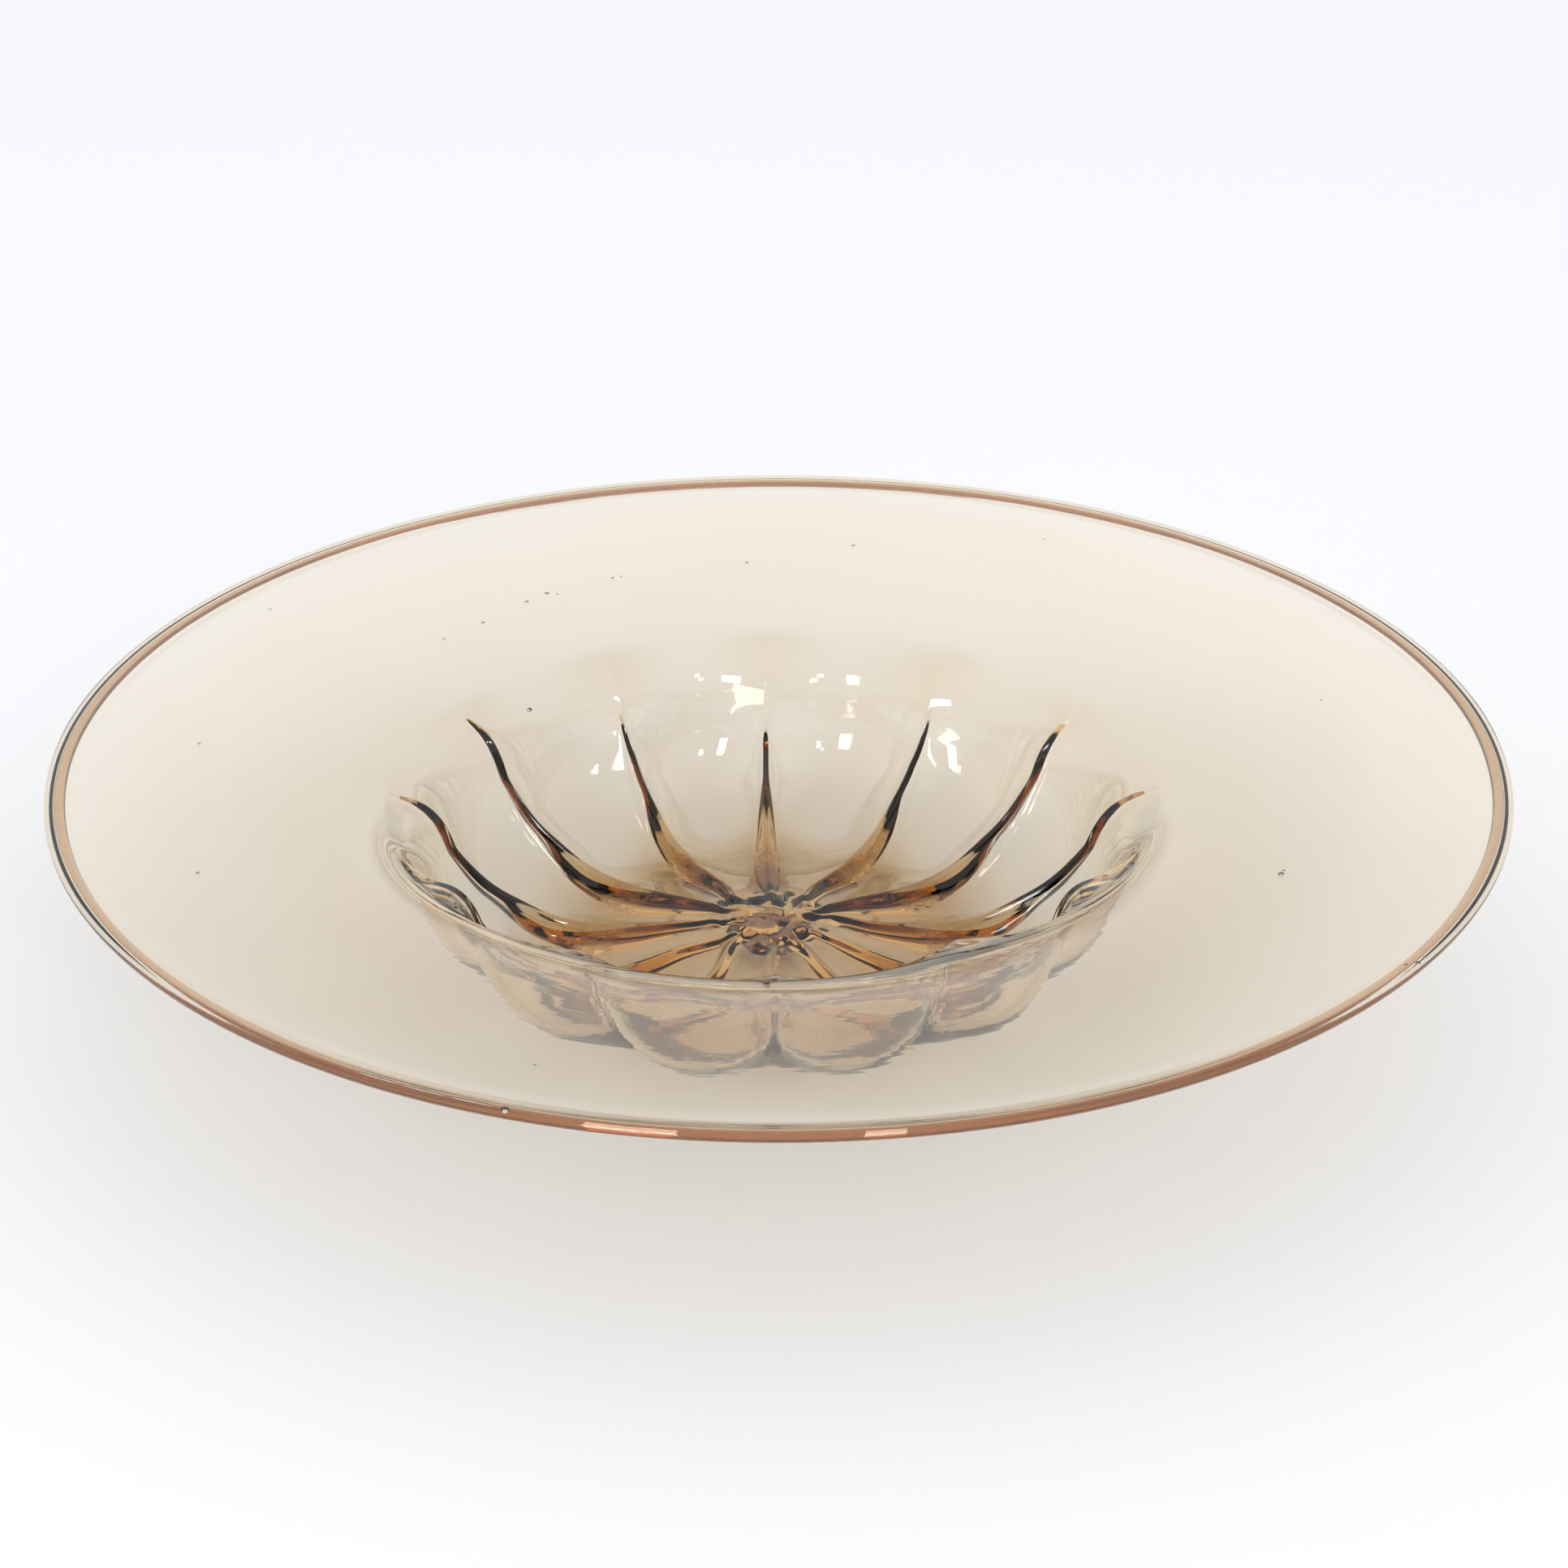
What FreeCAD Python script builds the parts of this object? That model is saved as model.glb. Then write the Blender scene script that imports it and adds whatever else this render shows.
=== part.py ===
"""Hand-blown glass centrepiece bowl: a pushed-up base with a pad, a lobed wall, a wide brim and its folded rim.

Millimetres, +Z up. The origin is the centre of the resting face, and the glass turns about Z.
Twelve pinched ribs stand every 30 degrees, one of them along +Y. Between two ribs the wall bulges as a lobe.
"""
import FreeCAD, Part
import math
import os
import Sketcher

Vector = FreeCAD.Vector
AXIS = Vector(0, 0, 1)
# places nearer than this are one place
CLOSE = 1e-4

doc = FreeCAD.newDocument("bowl")

# ---------------------------------------------------------------- driving dimensions
SIZES = [
    ("rim_diameter", 400.0, "outside diameter over the folded rim"),
    ("total_height", 68.4, "resting face to the top of the folded rim"),
    ("fold_width", 5.4, "radial width of the folded rim"),
    ("fold_thickness", 3.4, "height of the folded rim"),
    ("fold_round", 1.5, "rounding of the folded rim's outer edges"),
    ("brim_edge_wall", 1.8, "glass thickness where the brim meets the fold"),
    ("brim_root_wall", 2.2, "glass thickness where the brim leaves the shoulder"),
    ("brim_rise", 5.6, "climb of the brim from the shoulder to the fold"),
    ("shoulder_radius", 122.0, "circle where the lobed wall ends and the brim starts"),
    ("neck_radius", 103.4, "outside radius at the turn under the shoulder"),
    ("neck_drop", 19.6, "depth of that turn under the top of the rim"),
    ("wall_radius", 97.6, "outside radius of the lobes on the upright wall"),
    ("wall_height", 34.6, "height of that place on the wall"),
    ("belly_radius", 83.0, "outside radius on the lower curve of the lobes"),
    ("belly_height", 14.8, "height of that place on the lower curve"),
    ("base_radius", 58.0, "outside radius of the resting face on a lobe"),
    ("base_joint_radius", 61.0, "circle where the base ends and the lobed wall starts"),
    ("resting_width", 12.0, "width of the resting face on a lobe"),
    ("kick_radius", "=base_radius - resting_width", "inside radius of the resting face, where the push-up starts"),
    ("kick_height", 6.4, "height of the push-up under the centre"),
    ("centre_radius", 14.0, "radius of the flat disc at the centre, above and below"),
    ("centre_wall", 6.8, "glass thickness at the centre"),
    ("floor_wall", 4.6, "glass thickness over the resting face"),
    ("floor_dip", 0.7, "how far the floor hangs below a straight run from the centre to the resting face"),
    ("floor_rise", 0.6, "climb of the floor over the resting face"),
    ("well_wall", 2.2, "glass thickness of the lobes"),
    ("rib_count", 12, "number of ribs and of lobes"),
    ("lobe_bulge", 4.2, "how far the middle of a lobe stands out from its sides"),
    ("rib_height", 4.8, "height of a rib over the side of a lobe, at its highest"),
    ("rib_crest", 2.2, "width of a rib's rounded crest"),
    ("rib_foot", 6.4, "width of a rib at its foot"),
    ("rib_run_in", 16.0, "length over which a rib rises from the centre disc"),
    ("rib_run_out", 26.0, "length over which a rib dies away below the shoulder"),
    ("groove_depth", 1.6, "depth of the outside groove behind a rib, below the lobe's sides"),
    ("groove_width", 5.0, "width of that groove"),
    ("pad_radius", 12.0, "radius of the pad left by the punty"),
    ("pad_thickness", 2.6, "thickness of that pad"),
    ("pad_round", 0.9, "rounding of the pad's lower edge"),
]

sheet = doc.addObject("Spreadsheet::Sheet", "Sizes")
for row, (alias, value, meaning) in enumerate(SIZES, start=1):
    sheet.set("A%d" % row, alias)
    sheet.set("B%d" % row, str(value))
    sheet.set("C%d" % row, meaning)
    sheet.setAlias("B%d" % row, alias)
doc.recompute()


def size(alias):
    """The value of one driving dimension."""
    return float(getattr(sheet, alias))


# ---------------------------------------------------------------- sketches of turned pieces
FOLD_MIDDLE = "(Sizes.total_height - Sizes.fold_thickness / 2)"
FOLD_START = "(Sizes.rim_diameter / 2 - Sizes.fold_width)"


def turned_body(label):
    """A body with one empty sketch on its XZ plane, for a section that is turned about Z."""
    body = doc.addObject("PartDesign::Body", label)
    body.Label = label
    sketch = body.newObject("Sketcher::SketchObject", label + "_section")
    plane = [f for f in body.Origin.OriginFeatures if f.Role == "XZ_Plane"][0]
    sketch.AttachmentSupport = [(plane, "")]
    sketch.MapMode = "FlatFace"
    return body, sketch


def outline(sketch, corners, arc_radii):
    """A closed outline through corners given as (radius, height) expressions.

    arc_radii maps the number of a side to the expression of its radius; every other side is straight.
    The arcs bulge upwards, as the brim does.
    """
    places = [(sheet_value(radius), sheet_value(height)) for radius, height in corners]
    count = len(places)
    ends = []
    for side in range(count):
        start = Vector(places[side][0], places[side][1], 0)
        end = Vector(places[(side + 1) % count][0], places[(side + 1) % count][1], 0)
        if side in arc_radii:
            geometry = sketch.addGeometry(raised_arc(start, end, sheet_value(arc_radii[side])), False)
            # such an arc runs from its outer end to its inner one
            ends.append((geometry, 1, 2) if start.x > end.x else (geometry, 2, 1))
        else:
            geometry = sketch.addGeometry(Part.LineSegment(start, end), False)
            ends.append((geometry, 1, 2))
    for side in range(count):
        following = ends[(side + 1) % count]
        sketch.addConstraint(Sketcher.Constraint("Coincident", ends[side][0], ends[side][2],
                                                 following[0], following[1]))
    for side, (radius, height) in enumerate(corners):
        geometry, first, _ = ends[side]
        bind(sketch, Sketcher.Constraint("DistanceX", -1, 1, geometry, first, places[side][0]), radius)
        bind(sketch, Sketcher.Constraint("DistanceY", -1, 1, geometry, first, places[side][1]), height)
    for side, radius in arc_radii.items():
        bind(sketch, Sketcher.Constraint("Radius", ends[side][0], sheet_value(radius)), radius)


def sheet_value(expression):
    """The number that an expression of the sheet's sizes gives."""
    return float(sheet.evalExpression(expression.replace("Sizes.", "")))


def bind(sketch, constraint, expression):
    """Add a constraint and let the sheet drive it."""
    number = sketch.addConstraint(constraint)
    sketch.setExpression("Constraints[%d]" % number, expression)


def raised_arc(start, end, radius):
    """The flat arc of this radius between two places that bulges upwards."""
    outer_end, inner_end = (start, end) if start.x > end.x else (end, start)
    chord = inner_end.sub(outer_end)
    down = Vector(-chord.y, chord.x, 0).normalize()
    centre = (start + end) * 0.5 + down * math.sqrt(radius ** 2 - (chord.Length / 2) ** 2)
    angles = [math.atan2(place.y - centre.y, place.x - centre.x) for place in (outer_end, inner_end)]
    return Part.ArcOfCircle(Part.Circle(centre, AXIS, radius), angles[0], angles[1])


def turn(body, sketch):
    """Turn a section a full circle about the body's Z axis."""
    revolution = body.newObject("PartDesign::Revolution", body.Label + "_turned")
    revolution.Profile = sketch
    revolution.ReferenceAxis = (sketch, ["V_Axis"])
    revolution.Angle = 360.0
    doc.recompute()
    return revolution


# ---------------------------------------------------------------- brim
# The brim is spun out of the well's mouth: almost flat, climbing a little to the fold, thinner outwards.
BRIM_RUN = "(%s - Sizes.shoulder_radius)" % FOLD_START
BRIM_ARC = "((%s ^ 2 + Sizes.brim_rise ^ 2) / (2 * Sizes.brim_rise))" % BRIM_RUN
BRIM_TOP = "(%s + Sizes.brim_edge_wall / 2)" % FOLD_MIDDLE
BRIM_UNDER = "(%s - Sizes.brim_edge_wall / 2)" % FOLD_MIDDLE
ROOT_TOP = "(%s - Sizes.brim_rise)" % BRIM_TOP
ROOT_UNDER = "(%s - Sizes.brim_root_wall)" % ROOT_TOP

brim, brim_section = turned_body("brim")
outline(brim_section,
        [("Sizes.shoulder_radius", ROOT_UNDER), (FOLD_START, BRIM_UNDER),
         (FOLD_START, BRIM_TOP), ("Sizes.shoulder_radius", ROOT_TOP)],
        {0: BRIM_ARC, 2: BRIM_ARC})
turn(brim, brim_section)

# ---------------------------------------------------------------- folded rim
# The edge of the brim is turned over on itself, so the rim is a thicker rounded hem.
FOLD_TOP = "Sizes.total_height"
FOLD_UNDER = "(Sizes.total_height - Sizes.fold_thickness)"

folded_rim, fold_section = turned_body("folded_rim")
outline(fold_section,
        [(FOLD_START, FOLD_UNDER), ("Sizes.rim_diameter / 2", FOLD_UNDER),
         ("Sizes.rim_diameter / 2", FOLD_TOP), (FOLD_START, FOLD_TOP)],
        {})
fold_turned = turn(folded_rim, fold_section)


def circle_edges(feature, radius, heights):
    """Names of a feature's full-circle edges of one radius at the given heights."""
    names = []
    for number, edge in enumerate(feature.Shape.Edges, start=1):
        if not isinstance(edge.Curve, Part.Circle):
            continue
        same_radius = abs(edge.Curve.Radius - radius) < CLOSE
        same_height = any(abs(edge.Curve.Center.z - height) < CLOSE for height in heights)
        if same_radius and same_height:
            names.append("Edge%d" % number)
    return names


rim_heights = [size("total_height"), size("total_height") - size("fold_thickness")]
fold_outside = folded_rim.newObject("PartDesign::Fillet", "folded_rim_outside")
fold_outside.Base = (fold_turned, circle_edges(fold_turned, size("rim_diameter") / 2, rim_heights))
fold_outside.setExpression("Radius", "Sizes.fold_round")
doc.recompute()
fold_inside = folded_rim.newObject("PartDesign::Fillet", "folded_rim_inside")
inside_radius = size("rim_diameter") / 2 - size("fold_width")
fold_inside.Base = (fold_outside, circle_edges(fold_outside, inside_radius, rim_heights))
# a full rounding of the step would swallow its own edge, so a sliver stays
fold_inside.setExpression("Radius", "(Sizes.fold_thickness - Sizes.brim_edge_wall) / 2 * 0.95")
doc.recompute()

# ---------------------------------------------------------------- pontil pad
# The punty that held the bowl leaves a pad of its own glass under the push-up.
PAD_UNDER = "(Sizes.kick_height - Sizes.pad_thickness)"

pontil_pad, pad_section = turned_body("pontil_pad")
outline(pad_section,
        [("0", PAD_UNDER), ("Sizes.pad_radius", PAD_UNDER),
         ("Sizes.pad_radius", "Sizes.kick_height"), ("0", "Sizes.kick_height")],
        {})
pad_turned = turn(pontil_pad, pad_section)
pad_edge = pontil_pad.newObject("PartDesign::Fillet", "pontil_pad_edge")
pad_under = size("kick_height") - size("pad_thickness")
pad_edge.Base = (pad_turned, circle_edges(pad_turned, size("pad_radius"), [pad_under]))
pad_edge.setExpression("Radius", "Sizes.pad_round")
doc.recompute()

# ---------------------------------------------------------------- well
# The base and the wall of the well are shaped as one, and then parted on a circle. The well's skins are
# lobed, which no turned or padded section gives, so each skin is a ring of equal curved faces, one to a lobe.
# A meridian is a curve in the (radius, height) half plane.
STATIONS = 31
STEPS = 31
# which stations of the outer skin also guide the inner one: they miss the sharp turns at both ends
WALL_STATIONS = slice(6, -3, 3)
# directions of the skins where they leave the resting face and the centre disc
FOOT_DIRECTION = Vector(0.92, 0.39, 0)
FLOOR_DIRECTION = Vector(0.92, -0.39, 0)
# share of the run-out under the shoulder that stays plain
PLAIN_SHARE = 0.35
# height of a rib near the centre, as a share of its full height
LOW_RIB = 0.45
# height of the push-up halfway in, as a share of its full height
KICK_FULLNESS = 0.62


def meridian(points, start_slope, end_slope):
    """A smooth curve through (radius, height) points with the given end directions."""
    curve = Part.BSplineCurve()
    places = [Vector(radius, height, 0) for radius, height in points]
    curve.interpolate(Points=places, InitialTangent=start_slope, FinalTangent=end_slope)
    return curve


def stations(curve):
    """Evenly spaced places along a meridian: (radius, height, inward normal, length so far, length left)."""
    first, last = curve.FirstParameter, curve.LastParameter
    length = curve.length(first, last)
    found = []
    for number in range(STATIONS):
        run = length * number / (STATIONS - 1)
        at = curve.parameterAtDistance(run, first)
        place = curve.value(at)
        along = curve.tangent(at)[0]
        found.append((place.x, place.y, Vector(-along.y, along.x, 0), run, length - run))
    return found


def smooth_step(value):
    """0 up to 1 with level ends."""
    value = min(max(value, 0.0), 1.0)
    return value * value * (3 - 2 * value)


def from_rib(angle, radius):
    """Distance along the skin from the nearest rib's middle, for an angle from the lobe's middle."""
    return (math.pi / size("rib_count") - abs(angle)) * radius


def lobe_side(angle):
    """0 in the middle of a lobe and 1 at the ribs on its sides."""
    return (abs(angle) * size("rib_count") / math.pi) ** 2


def band(away, full_width, foot_width):
    """1 within half of full_width from a rib's middle, 0 beyond half of foot_width."""
    return smooth_step((foot_width / 2 - away) / ((foot_width - full_width) / 2))


def curve_through(points, parameters):
    """A cubic curve that passes each point at its own parameter."""
    curve = Part.BSplineCurve()
    curve.interpolate(Points=list(points), Parameters=parameters)
    return curve


def lobe_face(places, shift):
    """One lobe of a skin: a smooth surface over an angle of one rib spacing, centred on +X.

    shift(angle, place) gives how far that place moves, as (outward, upward).
    """
    half_angle = math.pi / size("rib_count")
    # steps crowd towards the ribs, where the skin turns quickly
    angles = [half_angle * math.sin(math.pi / 2 * (2 * step / (STEPS - 1) - 1)) for step in range(STEPS)]
    runs = [place[3] for place in places]
    rows = []
    for place in places:
        points = []
        for angle in angles:
            outward, upward = shift(angle, place)
            radius = place[0] + outward
            points.append(Vector(radius * math.cos(angle), radius * math.sin(angle), place[1] + upward))
        rows.append(curve_through(points, angles))
    columns = [curve_through(poles, runs) for poles in zip(*[row.getPoles() for row in rows])]
    surface = Part.BSplineSurface()
    surface.buildFromPolesMultsKnots([list(poles) for poles in zip(*[column.getPoles() for column in columns])],
                                     columns[0].getMultiplicities(), rows[0].getMultiplicities(),
                                     columns[0].getKnots(), rows[0].getKnots(), False, False, 3, 3)
    return surface


def end_edges(surface):
    """The edges at a lobe's inner end and at its outer end."""
    inner_end, outer_end, _, _ = surface.bounds()
    return surface.uIso(inner_end).toShape(), surface.uIso(outer_end).toShape()


def around(shape):
    """A shape repeated once for each rib spacing."""
    spacing = 360.0 / size("rib_count")
    copies = []
    for number in range(int(size("rib_count"))):
        copy = shape.copy()
        copy.rotate(Vector(0, 0, 0), AXIS, spacing * (number + 0.5))
        copies.append(copy)
    return copies


def well_shape():
    """The whole well as one closed solid between its outer and inner skins."""
    root_under = sheet_value(ROOT_UNDER)
    root_top = sheet_value(ROOT_TOP)
    brim_slope = sheet_value(BRIM_RUN) / sheet_value(BRIM_ARC)
    level_out = Vector(math.sqrt(1 - brim_slope ** 2), brim_slope, 0)
    neck_height = size("total_height") - size("neck_drop")

    outer = meridian([(size("base_radius"), 0.0),
                      (size("belly_radius"), size("belly_height")),
                      (size("wall_radius"), size("wall_height")),
                      (size("neck_radius"), neck_height),
                      (size("shoulder_radius"), root_under)],
                     FOOT_DIRECTION, level_out)
    outer_places = stations(outer)

    # the inner skin keeps the wall's distance from the outer one, then runs over the floor to the centre
    wall_points = [(radius + inward.x * size("well_wall"), height + inward.y * size("well_wall"))
                   for radius, height, inward, _, _ in outer_places[WALL_STATIONS]]
    centre_top = size("kick_height") + size("centre_wall")
    floor_points = [(size("centre_radius"), centre_top),
                    ((size("centre_radius") + size("kick_radius")) / 2,
                     (centre_top + size("floor_wall")) / 2 - size("floor_dip")),
                    (size("kick_radius"), size("floor_wall")),
                    (size("base_radius"), size("floor_wall") + size("floor_rise"))]
    inner = meridian(floor_points + wall_points + [(size("shoulder_radius"), root_top)],
                     FLOOR_DIRECTION, level_out)
    inner_places = stations(inner)

    def outside(angle, place):
        radius, _, _, _, left = place
        groove = size("groove_depth") * band(from_rib(angle, radius), 0.0, size("groove_width"))
        depth = size("lobe_bulge") * lobe_side(angle) + groove
        return -depth * smooth_step(left / size("rib_run_out") - PLAIN_SHARE), 0.0

    def inside(angle, place):
        radius, _, inward, run, left = place
        ends = smooth_step(run / size("rib_run_in")) * smooth_step(left / size("rib_run_out") - PLAIN_SHARE)
        fullness = smooth_step(radius / size("belly_radius"))
        rib = size("rib_height") * (LOW_RIB + (1 - LOW_RIB) * fullness)
        rib *= band(from_rib(angle, radius), size("rib_crest"), size("rib_foot"))
        lift = ends * (rib + size("lobe_bulge") * fullness * lobe_side(angle))
        return inward.x * lift, inward.y * lift

    outer_lobe = lobe_face(outer_places, outside)
    inner_lobe = lobe_face(inner_places, inside)
    foot_edge, outer_joint = end_edges(outer_lobe)
    disc_edge, inner_joint = end_edges(inner_lobe)
    joint_face = Part.makeRuledSurface(outer_joint, inner_joint)

    kick_circle = Part.Wire(Part.makeCircle(size("kick_radius"), Vector(0, 0, 0)))
    resting_face = Part.Face([Part.Wire(Part.__sortEdges__(around(foot_edge))), kick_circle],
                             "Part::FaceMakerCheese")
    kick_arc = Part.Arc(Vector(size("kick_radius"), 0, 0),
                        Vector((size("kick_radius") + size("centre_radius")) / 2, 0,
                               size("kick_height") * KICK_FULLNESS),
                        Vector(size("centre_radius"), 0, size("kick_height"))).toShape()
    kick_face = kick_arc.revolve(Vector(0, 0, 0), AXIS, 360)
    under_disc = Part.Face(Part.Wire(Part.makeCircle(size("centre_radius"), Vector(0, 0, size("kick_height")))))
    upper_disc = Part.Face(Part.Wire(Part.__sortEdges__(around(disc_edge))))

    skins = around(outer_lobe.toShape()) + around(inner_lobe.toShape()) + around(joint_face)
    skins += [resting_face] + kick_face.Faces + [under_disc, upper_disc]
    sewn = Part.makeCompound(skins)
    sewn.sewShape(CLOSE)
    solid = Part.Solid(sewn.Shells[0])
    if solid.Volume < 0:
        solid.reverse()
    return solid


def well_piece(label, shape):
    """A feature for one solid of the well."""
    piece = doc.addObject("Part::Feature", label)
    piece.Label = label
    piece.Shape = shape.Solids[0]
    return piece


# The base is gathered thick and pushed up, and the lobed wall is blown thin above it. They meet on a circle.
well = well_shape()
joint_cylinder = Part.makeCylinder(size("base_joint_radius"), size("total_height"))
pushed_base = well_piece("pushed_base", well.common(joint_cylinder))
lobed_wall = well_piece("lobed_wall", well.cut(joint_cylinder))

# ---------------------------------------------------------------- check and write
doc.recompute()
PIECES = [pushed_base, lobed_wall, brim, folded_rim, pontil_pad]
for thing in doc.Objects:
    if "Invalid" in thing.State or "Error" in thing.State:
        raise RuntimeError("%s failed: %s" % (thing.Label, thing.State))
for piece in PIECES:
    if piece.Shape.isNull() or not piece.Shape.isValid():
        raise RuntimeError("%s has no sound solid" % piece.Label)

os.makedirs("parts", exist_ok=True)
for piece in PIECES:
    piece.Shape.exportStep("parts/%s.step" % piece.Label)
    print(piece.Label, "solids", len(piece.Shape.Solids), "volume", round(piece.Shape.Volume))
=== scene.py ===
"""Hand-blown amber glass bowl: a deep ribbed well, a wide thin brim, its folded rim and the punty's scar.

Metres, +Z up, standing on the plane z = 0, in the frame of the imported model.
"""
import math

import bpy
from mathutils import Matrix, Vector, noise


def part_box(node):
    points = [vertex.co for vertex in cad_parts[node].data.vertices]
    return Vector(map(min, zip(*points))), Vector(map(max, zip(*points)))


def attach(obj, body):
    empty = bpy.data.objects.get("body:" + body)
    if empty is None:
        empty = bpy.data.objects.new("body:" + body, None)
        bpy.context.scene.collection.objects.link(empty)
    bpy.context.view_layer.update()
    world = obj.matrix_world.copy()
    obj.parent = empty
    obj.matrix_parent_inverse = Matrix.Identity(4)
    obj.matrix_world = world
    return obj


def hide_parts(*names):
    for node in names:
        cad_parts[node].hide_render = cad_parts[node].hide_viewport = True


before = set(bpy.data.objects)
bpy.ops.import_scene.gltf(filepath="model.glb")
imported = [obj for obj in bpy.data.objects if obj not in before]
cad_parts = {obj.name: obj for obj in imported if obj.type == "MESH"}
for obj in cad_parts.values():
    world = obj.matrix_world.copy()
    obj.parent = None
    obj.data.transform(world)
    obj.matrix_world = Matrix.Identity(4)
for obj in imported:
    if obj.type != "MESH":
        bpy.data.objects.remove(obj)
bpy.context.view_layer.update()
bpy.ops.object.select_all(action="DESELECT")

# ---------------------------------------------------------------- camera
# The bowl is seen from about 26 degrees above the table, a metre away, with a short telephoto lens.
# The centre of the rim lies a little above and left of the middle of the view.
MM = 0.001
RIM_LEVEL = 0.0666
VIEW_DISTANCE = 1.0
VIEW_ELEVATION = math.radians(26.3)
TIP_DOWN = math.radians(0.54)
TURN_RIGHT = math.radians(0.09)
SENSOR = 36
LENS = 83.05

bpy.ops.object.camera_add(
    location=(0, -VIEW_DISTANCE * math.cos(VIEW_ELEVATION), RIM_LEVEL + VIEW_DISTANCE * math.sin(VIEW_ELEVATION)),
    rotation=(math.pi / 2 - VIEW_ELEVATION - TIP_DOWN, 0, -TURN_RIGHT))
camera = bpy.context.object
camera.data.sensor_width = SENSOR
camera.data.lens = LENS
bpy.context.scene.camera = camera

# ---------------------------------------------------------------- table and light
# A plain white table in a bright room whose far walls are dark near the table's level.
# Two lamps stand low on the viewer's side: a wide soft one on the left and a small sharp one on the right.
TABLE_WHITE = (0.87, 0.88, 0.895, 1)
TABLE_SIZE = 8
LAMP_AIM = Vector((0, 0, 0.03))
LEFT_LAMP = (-0.63, -1.66, 0.80)
RIGHT_LAMP = (0.42, -1.60, 0.86)
# the room's colours by the height of the direction, as the sine of its elevation
GLOOM = (0.25, 0.20, 0.17, 1)
ROOM_WHITE = (0.985, 0.988, 1.0, 1)
ROOM_WHITE_FROM = 0.15
ROOM_STRENGTH = 1.055

bpy.ops.mesh.primitive_plane_add(size=TABLE_SIZE, location=(0, 0, 0))
table = bpy.context.object
table.name = "table"
table_paint = bpy.data.materials.new("matt white table")
table_paint.use_nodes = True
table_shader = table_paint.node_tree.nodes["Principled BSDF"]
table_shader.inputs["Base Color"].default_value = TABLE_WHITE
table_shader.inputs["Roughness"].default_value = 0.9
table_shader.inputs["Specular IOR Level"].default_value = 0.0
table.data.materials.append(table_paint)


def lamp(name, place, width, power):
    """A square soft lamp at a place, aimed at the middle of the bowl."""
    bpy.ops.object.light_add(type="AREA", location=place)
    light = bpy.context.object
    light.name = name
    light.data.size = width
    light.data.energy = power
    light.rotation_euler = (LAMP_AIM - Vector(place)).to_track_quat("-Z", "Y").to_euler()
    return light


# The wide lamp casts no shadow: light that clear glass passes on is hardly found under the bowl, and a
# shadowed lamp would leave the table there too dark.
lamp("left lamp", LEFT_LAMP, 0.40, 7).data.use_shadow = False
lamp("right lamp", RIGHT_LAMP, 0.17, 2)

room = bpy.data.worlds.new("room")
room.use_nodes = True
bpy.context.scene.world = room
room_nodes = room.node_tree.nodes
room_links = room.node_tree.links
background = room_nodes["Background"]
direction = room_nodes.new("ShaderNodeTexCoord")
parts_of = room_nodes.new("ShaderNodeSeparateXYZ")
room_links.new(direction.outputs["Generated"], parts_of.inputs[0])
height_ramp = room_nodes.new("ShaderNodeValToRGB")
gloom_end, white_end = height_ramp.color_ramp.elements
gloom_end.position = 0.0
gloom_end.color = GLOOM
white_end.position = ROOM_WHITE_FROM
white_end.color = ROOM_WHITE
room_links.new(parts_of.outputs["Z"], height_ramp.inputs[0])
room_links.new(height_ramp.outputs[0], background.inputs["Color"])
background.inputs["Strength"].default_value = ROOM_STRENGTH
bpy.context.scene.view_settings.view_transform = "Standard"

# ---------------------------------------------------------------- bowl wall
# The well and the brim are one thin wall of smoky amber glass. It was blown, its wall was pinched into
# twelve ribs while it was hot, its base was pushed up, and its mouth was spun out into the brim.
# The ribs were pinched by hand, so each has its own place, length and lean.
WALL = 2.2 * MM
BRIM_WALL = 1.65 * MM
FOLD_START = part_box("brim")[1].x
COLUMNS = 432

# (radius, height) in mm of the inner surface in the middle of a lobe, from the centre over the rim's edge
INNER_LINE = [(0, 13.6), (7, 13.4), (14, 12.6), (22, 11.0), (30, 9.2), (38, 7.4), (46, 6.0), (53, 5.2),
              (60, 5.1), (66, 6.1), (73, 8.6), (79, 11.4), (84.4, 15.2), (88.4, 19.3), (91.0, 23.6), (93.1, 28.6),
              (94.8, 34.0), (96.2, 39.4), (98.0, 44.4), (100.6, 48.6), (104.5, 52.4), (110, 56.4), (117, 59.6),
              (126, 62.3), (137, 64.2), (151, 65.5), (172, 66.6), (190, 67.35), (196, 68.0), (198.4, 68.1)]
# the rolled outer edge of the rim, and the underside as far as the start of the thin brim
EDGE_LINE = [(198.4, 68.1), (199.6, 67.6), (199.98, 66.7), (199.7, 65.7), (198.9, 65.12), (198.1, 65.2),
             (197.7, 65.75), (197.3, 66.3), (196, 66.2), (193, 65.75)]
# the underside of the base, from the wall to the centre
BASE_LINE = [(60.5, 0.9), (57.5, 0.15), (52, 0.05), (47, 0.1), (43, 0.6), (36, 1.9), (27, 3.9), (19, 5.5),
             (13.5, 6.3), (7, 6.43), (0, 6.43)]
# (radius, height) in mm of the crests of the ribs
CREST_LINE = [(0, 13.6), (10, 13.4), (20, 12.7), (30, 11.8), (40, 11.2), (50, 11.6), (57, 13.0), (63, 15.2),
              (70, 19.2), (78, 24.6), (85, 32.2), (91.5, 41.5), (96.8, 47.6), (102, 51.4), (108, 55.6), (117, 59.7)]
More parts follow.
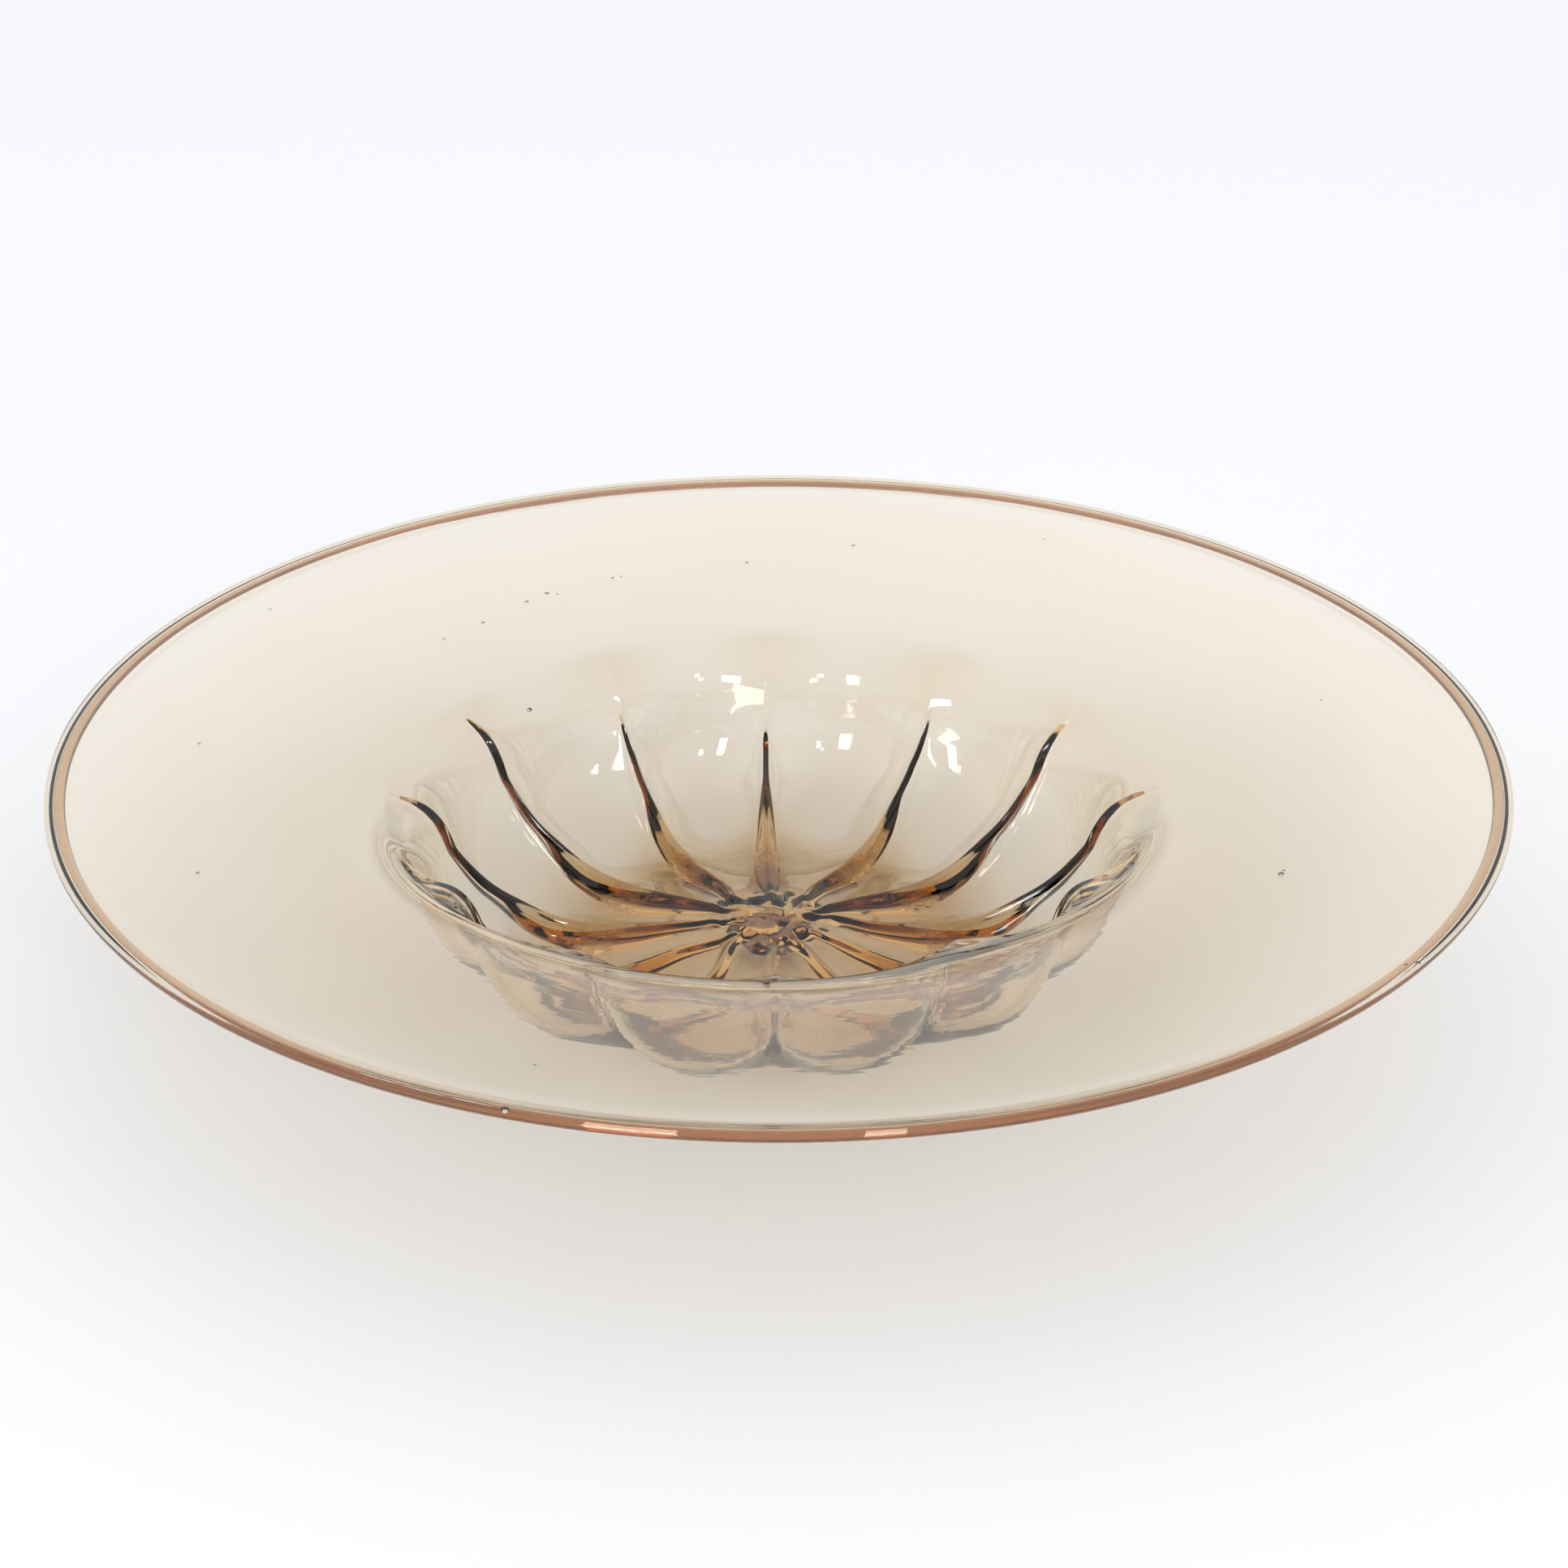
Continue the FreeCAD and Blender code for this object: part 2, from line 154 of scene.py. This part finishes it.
# azimuth in degrees of each rib, radius in mm where it dies out under the lip, and its share of the full height
RIBS = [(0.5, 101, 1.0), (30.5, 101, 1.0), (60.3, 97.5, 0.97), (91.0, 96.5, 0.95), (120.0, 98, 1.0),
        (149.6, 104, 1.03), (179.6, 103, 1.0), (209.0, 103, 0.97), (240.0, 100, 0.97), (270.5, 99, 0.95),
        (301.0, 100, 1.0), (331.0, 102, 0.97)]
RIB_FOOT = 7.2 * MM
RIB_CREST = 0.7 * MM
# how much narrower a rib's foot is at the centre, and at its upper end
FOOT_AT_CENTRE = 0.42
FOOT_LOSS_ABOVE = 0.5
# the crest's height is shared between the lobes' rise to the rib and the fin that stands on it
LOBE_SHARE = 0.86
LOW_LOBE_SHARE = 0.50
BOTH_SHARES = 0.98
LEAST_FIN = 0.4 * MM
UPPER_BULGE = 6.2 * MM
# power of the lobes' cross line, and how sharp they still meet above the ribs' ends
ROUNDNESS = 2.1
SHARP_ABOVE = 0.55
GROOVE = 1.2 * MM
FOOT_SCALLOP = 3.0 * MM
# how the columns of the mesh crowd towards the ribs
CROWDING = 0.78
# height of the spun brim's waves, of the centre's wrinkles, and how far the well hangs to the left
WAVE = 0.5 * MM
WRINKLE = 1.7 * MM
ASIDE = 2.6 * MM
# the lip's dent: (depth in mm, azimuth, half width in radians)
DENT = (4.5, math.radians(297), 0.22)


def smooth_line(corners, count):
    """count + 1 points, evenly spaced, along a smooth line through the corners."""
    ends = [corners[0]] + list(corners) + [corners[-1]]
    dense = []
    for number in range(len(corners) - 1):
        before, start, end, after = [Vector((x, y)) for x, y in ends[number:number + 4]]
        for step in range(24):
            t = step / 24
            dense.append(0.5 * ((2 * start) + (end - before) * t + (2 * before - 5 * start + 4 * end - after) * t ** 2
                                + (3 * start - before - 3 * end + after) * t ** 3))
    dense.append(Vector(corners[-1]))
    lengths = [0.0]
    for a, b in zip(dense, dense[1:]):
        lengths.append(lengths[-1] + (b - a).length)
    points = []
    place = 0
    for number in range(count + 1):
        wanted = lengths[-1] * number / count
        while place < len(dense) - 2 and lengths[place + 1] < wanted:
            place += 1
        share = (wanted - lengths[place]) / max(lengths[place + 1] - lengths[place], 1e-9)
        points.append(dense[place].lerp(dense[place + 1], min(max(share, 0), 1)) * MM)
    return points


def smooth_step(value):
    """0 up to 1 with level ends."""
    value = min(max(value, 0.0), 1.0)
    return value * value * (3 - 2 * value)


def normals_of(line):
    """Unit normals of a line in the (radius, height) plane, turned to its left."""
    found = []
    for number in range(len(line)):
        along = line[min(number + 1, len(line) - 1)] - line[max(number - 1, 0)]
        along.normalize()
        found.append(Vector((-along.y, along.x)))
    return found


def height_to(line, point, normal):
    """How far a line stands over a point, along the point's normal."""
    nearest = min(line, key=lambda other: abs((other.x - point.x) * normal.y - (other.y - point.y) * normal.x))
    return max((nearest - point).dot(normal), 0.0)


inner = smooth_line(INNER_LINE, 134)
up = normals_of(inner)
crests = smooth_line(CREST_LINE, 400)
crest_heights = [height_to(crests, point, normal) if point.x < 0.113 else 0.0 for point, normal in zip(inner, up)]
outer_start = next(number for number, point in enumerate(inner) if point.x > 64 * MM)
outer_end = next(number for number, point in enumerate(inner) if point.x > 191 * MM)
outer = []
outer_heights = []
for number in range(outer_end, outer_start - 1, -2):
    thin = smooth_step((inner[number].x - 0.11) / 0.085)
    outer.append(inner[number] - up[number] * (WALL * (1 - thin) + BRIM_WALL * thin))
    outer_heights.append(crest_heights[number])

# each point of the turned section: kind, place, normal, height of a rib's crest there
nowhere = Vector((0, 0))
section = [("in", *entry) for entry in zip(inner, up, crest_heights)]
section += [("edge", point, nowhere, 0.0) for point in smooth_line(EDGE_LINE, 22)[1:]]
section += [("out", *entry) for entry in zip(outer, normals_of(outer), outer_heights)]
section += [("base", point, nowhere, 0.0) for point in smooth_line(BASE_LINE, 24)]


def rib_azimuth(number, radius):
    """Azimuth of a rib, which leans a little along its run."""
    azimuth = math.radians(RIBS[number % 12][0]) + (2 * math.pi if number >= 12 else 0)
    lean = noise.noise(Vector((number % 12 * 3.7, radius * 9, 0.5))) * 0.05
    towards_centre = 0.5 * noise.noise(Vector((number % 12 * 5.1, 7.0, 0.5))) * smooth_step((0.03 - radius) / 0.02)
    return azimuth + lean * smooth_step(radius / 0.05) + towards_centre


def column_place(turn_share, radius):
    """(azimuth, distance to the nearest rib, share across the lobe 0..1, number of the lobe) of a column.

    The columns crowd towards the ribs, where the wall turns quickly.
    """
    lobe = int(turn_share * 12)
    across = turn_share * 12 - lobe
    across -= CROWDING * math.sin(2 * math.pi * across) / (2 * math.pi)
    first = rib_azimuth(lobe, radius)
    last = rib_azimuth(lobe + 1, radius)
    azimuth = first + (last - first) * across
    return azimuth, min(azimuth - first, last - azimuth) * radius, across, lobe


def rib_strength(number, radius):
    """How much of a rib stands at this radius, 0..1."""
    _, top, share = RIBS[number % 12]
    rise = smooth_step((radius / MM - 7 - 3 * noise.noise(Vector((number % 12 * 2.3, 0.5, 0.5)))) / 9)
    return share * rise * smooth_step((top - radius / MM) / 7)


def lip_wander(azimuth, radius):
    """How far the hand-spun lip of the well strays inwards or outwards."""
    near_lip = math.exp(-((radius - 0.103) / 0.011) ** 2)
    depth, dent_azimuth, half_width = DENT
    bump = -depth * math.exp(-((azimuth % (2 * math.pi) - dent_azimuth) / half_width) ** 2)
    return near_lip * MM * (bump + 1.1 * math.sin(2 * azimuth + 0.6) + 0.7 * math.sin(5 * azimuth + 2.0))


def spun_wave(azimuth, radius):
    """Height of the slow waves that spinning left in the brim."""
    wave = noise.noise(Vector((math.cos(azimuth) * 2.2, math.sin(azimuth) * 2.2, radius * 16)))
    return wave * smooth_step((radius - 0.085) / 0.05) * smooth_step((FOLD_START - radius) / 0.03) * WAVE


def hang(radius):
    """How far the well hangs to the left of the rim's centre: all of it low down, none of it in the brim."""
    return -ASIDE * smooth_step((0.150 - radius) / 0.06)


def wall_place(kind, point, normal, crest_height, turn_share):
    """Where a point of the turned section goes once the glass is pinched and spun."""
    radius, height = point
    azimuth, away, across, lobe = column_place(turn_share, radius)
    nearest = lobe if across < 0.5 else lobe + 1
    strength = rib_strength(nearest, radius)
    # low in the well the ribs are narrow fins; higher up they are the sharp meeting of two round lobes
    lobe_share = LOW_LOBE_SHARE + (LOBE_SHARE - LOW_LOBE_SHARE) * smooth_step((radius - 0.058) / 0.026)
    fin_share = BOTH_SHARES - lobe_share
    bulge = max(lobe_share * crest_height, UPPER_BULGE * smooth_step((radius - 0.070) / 0.02))
    sharp = abs(2 * across - 1) ** ROUNDNESS
    rounded = 0.5 + 0.5 * math.cos(2 * math.pi * across)
    sharpness = min(SHARP_ABOVE + strength, 1.0)
    bulge *= smooth_step((0.108 - radius) / 0.013) * (rounded + (sharp - rounded) * sharpness)
    foot = RIB_FOOT * (FOOT_AT_CENTRE + (1 - FOOT_AT_CENTRE) * smooth_step(radius / 0.05))
    foot *= 1 - FOOT_LOSS_ABOVE * smooth_step((radius - 0.066) / 0.03)
    shift = nowhere
    if kind == "in":
        fin = smooth_step((foot / 2 - away) / ((foot - RIB_CREST) / 2))
        wrinkle = noise.noise(Vector((radius * math.cos(azimuth), radius * math.sin(azimuth), 0.02)) * 260)
        wrinkle *= WRINKLE * smooth_step((0.022 - radius) / 0.010)
        shift = normal * ((fin_share * crest_height + LEAST_FIN) * fin * strength + bulge + wrinkle)
    elif kind == "out":
        fin = smooth_step((foot / 2 - away) / (foot / 2))
        # the outer line runs back towards the base, so its left normal points down and out
        shift = -normal * (GROOVE * fin * strength + bulge * smooth_step((radius - 0.060) / 0.022))
    elif kind == "base":
        shift = Vector((-FOOT_SCALLOP * sharp * smooth_step((radius - 0.050) / 0.01), 0))
    wave = spun_wave(azimuth, radius)
    radius += shift.x + lip_wander(azimuth, radius)
    height += shift.y + wave
    return Vector((radius * math.cos(azimuth) + hang(radius), radius * math.sin(azimuth), height))


def turned_piece(name, line, steps):
    """A closed glass shape turned about Z from a line of (radius, height) points.

    A line that starts and ends on the axis is left open there; any other line is closed.
    """
    bpy.ops.object.select_all(action="DESELECT")
    bpy.ops.mesh.primitive_circle_add(vertices=len(line), radius=0.1, fill_type="NOTHING")
    piece = bpy.context.object
    piece.name = name
    for vertex, point in zip(piece.data.vertices, line):
        vertex.co = (point.x, 0, point.y)
    station = piece.data.attributes.new("station", "FLOAT", "POINT")
    station.data.foreach_set("value", [float(number) for number in range(len(line))])
    on_axis = line[0].x < 1e-6
    bpy.ops.object.mode_set(mode="EDIT")
    bpy.ops.mesh.select_mode(type="EDGE")
    bpy.ops.mesh.select_all(action="DESELECT")
    bpy.ops.object.mode_set(mode="OBJECT")
    for edge in piece.data.edges:
        edge.select = on_axis and set(edge.vertices) == {0, len(line) - 1}
    bpy.ops.object.mode_set(mode="EDIT")
    bpy.ops.mesh.delete(type="EDGE")
    bpy.ops.mesh.select_mode(type="VERT")
    bpy.ops.mesh.select_all(action="SELECT")
    bpy.ops.mesh.spin(steps=steps, angle=2 * math.pi, center=(0, 0, 0), axis=(0, 0, 1), use_auto_merge=True)
    bpy.ops.mesh.select_all(action="SELECT")
    bpy.ops.mesh.remove_doubles(threshold=1e-6)
    bpy.ops.object.mode_set(mode="OBJECT")
    return piece


def outward(piece, sharp_degrees):
    """Turn a closed piece's faces outwards and shade it smooth."""
    bpy.ops.object.mode_set(mode="EDIT")
    bpy.ops.mesh.select_all(action="SELECT")
    bpy.ops.mesh.normals_make_consistent(inside=False)
    bpy.ops.object.mode_set(mode="OBJECT")
    bpy.ops.object.shade_smooth_by_angle(angle=math.radians(sharp_degrees))


bowl_wall = turned_piece("bowl_wall", [entry[1] for entry in section], COLUMNS)
stations = [round(item.value) for item in bowl_wall.data.attributes["station"].data]
for vertex in bowl_wall.data.vertices:
    kind, point, normal, crest_height = section[stations[vertex.index]]
    turn_share = round((math.atan2(vertex.co.y, vertex.co.x) / (2 * math.pi)) % 1.0 * COLUMNS) % COLUMNS / COLUMNS
    if point.x > 1e-6:
        vertex.co = wall_place(kind, point, normal, crest_height, turn_share)
    else:
        vertex.co.x -= ASIDE
bowl_wall.data.attributes.remove(bowl_wall.data.attributes["station"])
outward(bowl_wall, 60)

# seeds: bubbles of air that stayed in the glass, as (radius in mm, azimuth in degrees, size in mm);
# the last four sit in the rolled edge of the rim
SEEDS = [(132, 125, 0.5), (134, 121.6, 0.6), (133, 120.4, 0.35), (136, 112, 0.4), (135, 110.8, 0.3), (129, 133, 0.45),
         (129, 140, 0.35), (138, 94, 0.45), (149, 81, 0.5), (99.2, 136, 0.7), (161, 178, 0.4), (148, 332, 0.75),
         (147.2, 332.8, 0.4), (166, 205, 0.45), (172, 61, 0.3), (180, 148, 0.35), (158, 12, 0.3), (176, 251, 0.3),
         (197.6, 251.5, 0.8), (197.8, 322.5, 0.6), (197.5, 321.7, 0.45), (198.0, 323.6, 0.4)]
# a thread of air drawn out inside the rim, in three lengths, as azimuths in degrees
THREAD = [241.8, 245.4, 249.0]
THREAD_RADIUS = 197.7 * MM
THREAD_HEIGHT = 67.0 * MM
THREAD_WIDTH = 0.27 * MM
THREAD_DRAWN = 23
SEED_DEPTH = 0.95 * MM
SEED_DRAWN = 1.35
SEED_FLATNESS = 0.75


def bubble(place, size, turned, drawn):
    """A small closed hollow, drawn out along the way the glass was spun. Its faces point into the air in it."""
    bpy.ops.object.select_all(action="DESELECT")
    bpy.ops.mesh.primitive_ico_sphere_add(subdivisions=2, radius=1.0)
    hollow = bpy.context.object
    for vertex in hollow.data.vertices:
        along, across, high = vertex.co.y * size * drawn, vertex.co.x * size, vertex.co.z * size * SEED_FLATNESS
        vertex.co = place + Vector((across * math.cos(turned) - along * math.sin(turned),
                                    across * math.sin(turned) + along * math.cos(turned), high))
    bpy.ops.object.mode_set(mode="EDIT")
    bpy.ops.mesh.select_all(action="SELECT")
    bpy.ops.mesh.flip_normals()
    bpy.ops.object.mode_set(mode="OBJECT")
    bpy.ops.object.shade_smooth()
    return hollow


bubbles = []
for seed_radius, seed_azimuth, seed_size in SEEDS:
    turned = math.radians(seed_azimuth)
    spot = min(range(len(inner)), key=lambda number: abs(inner[number].x - seed_radius * MM))
    middle = inner[spot] - up[spot] * SEED_DEPTH
    place = Vector((middle.x * math.cos(turned) + hang(middle.x), middle.x * math.sin(turned),
                    middle.y + spun_wave(turned, middle.x)))
    bubbles.append(bubble(place, seed_size * MM, turned, SEED_DRAWN))
for azimuth in THREAD:
    turned = math.radians(azimuth)
    place = Vector((THREAD_RADIUS * math.cos(turned), THREAD_RADIUS * math.sin(turned), THREAD_HEIGHT))
    bubbles.append(bubble(place, THREAD_WIDTH, turned, THREAD_DRAWN))
for hollow in bubbles:
    hollow.select_set(True)
bowl_wall.select_set(True)
bpy.context.view_layer.objects.active = bowl_wall
bpy.ops.object.join()

# skin of hot-worked glass: spin marks round the axis, cords in the colour and wear on the foot
skin = bpy.data.node_groups.new("hot glass skin", "ShaderNodeTree")
skin.interface.new_socket("Glass", in_out="INPUT", socket_type="NodeSocketColor")
skin.interface.new_socket("Cord Colour", in_out="INPUT", socket_type="NodeSocketColor")
skin.interface.new_socket("Polish", in_out="INPUT", socket_type="NodeSocketFloat")
skin.interface.new_socket("Worn Roughness", in_out="INPUT", socket_type="NodeSocketFloat")
skin.interface.new_socket("Spin Marks", in_out="INPUT", socket_type="NodeSocketFloat")
skin.interface.new_socket("Colour", in_out="OUTPUT", socket_type="NodeSocketColor")
skin.interface.new_socket("Roughness", in_out="OUTPUT", socket_type="NodeSocketFloat")
skin.interface.new_socket("Height", in_out="OUTPUT", socket_type="NodeSocketFloat")
# below this height the foot is worn, and scratches cover about half of it
WORN_BELOW = 0.0004
SCRATCH_SHARE = 0.47
given = skin.nodes.new("NodeGroupInput")
result = skin.nodes.new("NodeGroupOutput")


def sum_node(operation, first, second=None):
    """A math node of the skin group; each input is a socket or a number."""
    node = skin.nodes.new("ShaderNodeMath")
    node.operation = operation
    for number, source in enumerate([first, second]):
        if source is None:
            continue
        if isinstance(source, (int, float)):
            node.inputs[number].default_value = source
        else:
            skin.links.new(source, node.inputs[number])
    return node.outputs[0]


def grain_node(vector, scale, detail, roughness=0.5):
    """A noise texture of the skin group over a vector socket."""
    node = skin.nodes.new("ShaderNodeTexNoise")
    node.inputs["Scale"].default_value = scale
    node.inputs["Detail"].default_value = detail
    node.inputs["Roughness"].default_value = roughness
    skin.links.new(vector, node.inputs["Vector"])
    return node.outputs["Fac"]


where = skin.nodes.new("ShaderNodeTexCoord").outputs["Object"]
split = skin.nodes.new("ShaderNodeSeparateXYZ")
skin.links.new(where, split.inputs[0])
flat_radius = sum_node("SQRT", sum_node("ADD", sum_node("MULTIPLY", split.outputs["X"], split.outputs["X"]),
                                        sum_node("MULTIPLY", split.outputs["Y"], split.outputs["Y"])))
turn_x = sum_node("DIVIDE", split.outputs["X"], sum_node("ADD", flat_radius, 0.001))
turn_y = sum_node("DIVIDE", split.outputs["Y"], sum_node("ADD", flat_radius, 0.001))
spin_vector = skin.nodes.new("ShaderNodeCombineXYZ")
skin.links.new(sum_node("MULTIPLY", turn_x, 0.02), spin_vector.inputs[0])
skin.links.new(sum_node("MULTIPLY", turn_y, 0.02), spin_vector.inputs[1])
skin.links.new(flat_radius, spin_vector.inputs[2])
spin_grain = grain_node(spin_vector.outputs[0], 130.0, 3.0)
soft_grain = grain_node(where, 22.0, 2.0)
orange_peel = grain_node(where, 95.0, 2.0)
marks = sum_node("MULTIPLY", sum_node("MULTIPLY", spin_grain, soft_grain), given.outputs["Spin Marks"])
skin.links.new(sum_node("ADD", marks, sum_node("MULTIPLY", orange_peel, 0.25)), result.inputs["Height"])

cord_grain = grain_node(spin_vector.outputs[0], 45.0, 4.0, 0.65)
cord_mask = sum_node("MULTIPLY", cord_grain, soft_grain)
cord_mix = skin.nodes.new("ShaderNodeMix")
cord_mix.data_type = "RGBA"
skin.links.new(sum_node("MINIMUM", sum_node("MULTIPLY", cord_mask, 2.2), 1.0), cord_mix.inputs["Factor"])
skin.links.new(given.outputs["Glass"], cord_mix.inputs[6])
skin.links.new(given.outputs["Cord Colour"], cord_mix.inputs[7])
skin.links.new(cord_mix.outputs[2], result.inputs["Colour"])

low_down = sum_node("LESS_THAN", split.outputs["Z"], WORN_BELOW)
scratches = sum_node("GREATER_THAN", grain_node(where, 420.0, 3.0), SCRATCH_SHARE)
worn = sum_node("MULTIPLY", sum_node("MULTIPLY", low_down, scratches), given.outputs["Worn Roughness"])
skin.links.new(sum_node("ADD", worn, sum_node("MULTIPLY", soft_grain, given.outputs["Polish"])),
               result.inputs["Roughness"])


def worked_glass(name, glass, cord, polish, worn_roughness, spin_marks, relief, depth_tint, density):
    """Glass with the skin's marks on its faces and an even tint through its thickness."""
    material = bpy.data.materials.new(name)
    material.use_nodes = True
    nodes = material.node_tree.nodes
    links = material.node_tree.links
    shader = nodes["Principled BSDF"]
    shader.inputs["IOR"].default_value = 1.5
    shader.inputs["Transmission Weight"].default_value = 1.0
    surface = nodes.new("ShaderNodeGroup")
    surface.node_tree = skin
    surface.inputs["Glass"].default_value = glass
    surface.inputs["Cord Colour"].default_value = cord
    surface.inputs["Polish"].default_value = polish
    surface.inputs["Worn Roughness"].default_value = worn_roughness
    surface.inputs["Spin Marks"].default_value = spin_marks
    bump = nodes.new("ShaderNodeBump")
    bump.inputs["Strength"].default_value = 1.0
    bump.inputs["Distance"].default_value = relief
    links.new(surface.outputs["Colour"], shader.inputs["Base Color"])
    links.new(surface.outputs["Roughness"], shader.inputs["Roughness"])
    links.new(surface.outputs["Height"], bump.inputs["Height"])
    links.new(bump.outputs[0], shader.inputs["Normal"])
    tint = nodes.new("ShaderNodeVolumeAbsorption")
    tint.inputs["Color"].default_value = (*depth_tint, 1)
    tint.inputs["Density"].default_value = density
    links.new(tint.outputs[0], nodes["Material Output"].inputs["Volume"])
    return material


bowl_wall.data.materials.clear()
bowl_wall.data.materials.append(worked_glass(
    "smoky amber blown glass", glass=(1.0, 0.995, 0.985, 1), cord=(0.98, 0.96, 0.93, 1), polish=0.0,
    worn_roughness=0.28, spin_marks=1.0, relief=0.00006, depth_tint=(0.775, 0.545, 0.12), density=120.0))
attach(bowl_wall, "root")
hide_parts("lobed_wall", "pushed_base", "brim")

# ---------------------------------------------------------------- folded rim
# The maker turned the edge of the brim under and melted it shut. The turned-in strip lies against the
# underside of the brim, inside the rolled edge. It is the bowl's own glass. Its tint is set nine to ten times
# as deep as the wall's, to give the brown line of the rim.
STRIP_LINE = [(194.7, 65.80), (194.45, 65.45), (194.62, 65.1), (195.2, 64.98), (196.3, 64.98), (197.2, 65.05),
              (197.52, 65.3), (197.42, 65.75), (197.15, 66.18), (196.2, 66.16), (195.4, 66.02)]
STRIP_WANDER = 0.35 * MM

folded_rim = turned_piece("folded_rim_strip", smooth_line(STRIP_LINE + STRIP_LINE[:1], 30)[:-1], 480)
for vertex in folded_rim.data.vertices:
    azimuth = math.atan2(vertex.co.y, vertex.co.x)
    flat = Vector((vertex.co.x, vertex.co.y, 0))
    radius = flat.length
    # the strip's inner edge was turned in by hand and wanders a little
    share = smooth_step((0.1965 - radius) / 0.002)
    radius += share * STRIP_WANDER * noise.noise(Vector((math.cos(azimuth) * 3, math.sin(azimuth) * 3, 2.0)))
    vertex.co.x, vertex.co.y = radius * math.cos(azimuth), radius * math.sin(azimuth)
folded_rim.data.attributes.remove(folded_rim.data.attributes["station"])
outward(folded_rim, 60)
folded_rim.data.materials.append(worked_glass(
    "fire-rounded amber fold", glass=(0.985, 0.97, 0.95, 1), cord=(0.93, 0.88, 0.80, 1), polish=0.0,
    worn_roughness=0.0, spin_marks=1.6, relief=0.00006, depth_tint=(0.72, 0.43, 0.06), density=1000.0))
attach(folded_rim, "root")
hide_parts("folded_rim")

# ---------------------------------------------------------------- pontil scar
# The pad of glass that fixed the bowl to the maker's punty, broken off and left rough under the base.
# Its tint is set ten to fourteen times as deep as the wall's, to darken the centre of the well.
PAD_LOW, PAD_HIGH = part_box("pontil_pad")

bpy.ops.object.select_all(action="DESELECT")
bpy.ops.mesh.primitive_uv_sphere_add(segments=96, ring_count=64, radius=1.0)
pontil_scar = bpy.context.object
pontil_scar.name = "pontil_scar"
pad_top = PAD_HIGH.z
pad_depth = PAD_HIGH.z - PAD_LOW.z
for vertex in pontil_scar.data.vertices:
    x, y, z = vertex.co
    azimuth = math.atan2(y, x)
    reach = PAD_HIGH.x * (0.86 + 0.13 * noise.noise(Vector((math.cos(azimuth) * 1.6, math.sin(azimuth) * 1.6, 3.0))))
    place = Vector((x * reach - ASIDE, y * reach, pad_top))
    if z < 0:
        chips = noise.ridged_multi_fractal(Vector((x * 1.7, y * 1.7, 4.0)), 1.0, 2.1, 4, 0.9, 2.0) / 3
        depth = pad_depth * min(max(0.55 + 0.45 * chips, 0.15), 1.0)
        place.z = pad_top - depth * min(-z * 2.2, 1.0)
    vertex.co = place
outward(pontil_scar, 35)
pontil_scar.data.materials.append(worked_glass(
    "broken amber pontil glass", glass=(0.95, 0.90, 0.82, 1), cord=(0.80, 0.66, 0.48, 1), polish=0.25,
    worn_roughness=0.0, spin_marks=0.4, relief=0.0003, depth_tint=(0.70, 0.46, 0.20), density=1300.0))
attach(pontil_scar, "root")
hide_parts("pontil_pad")
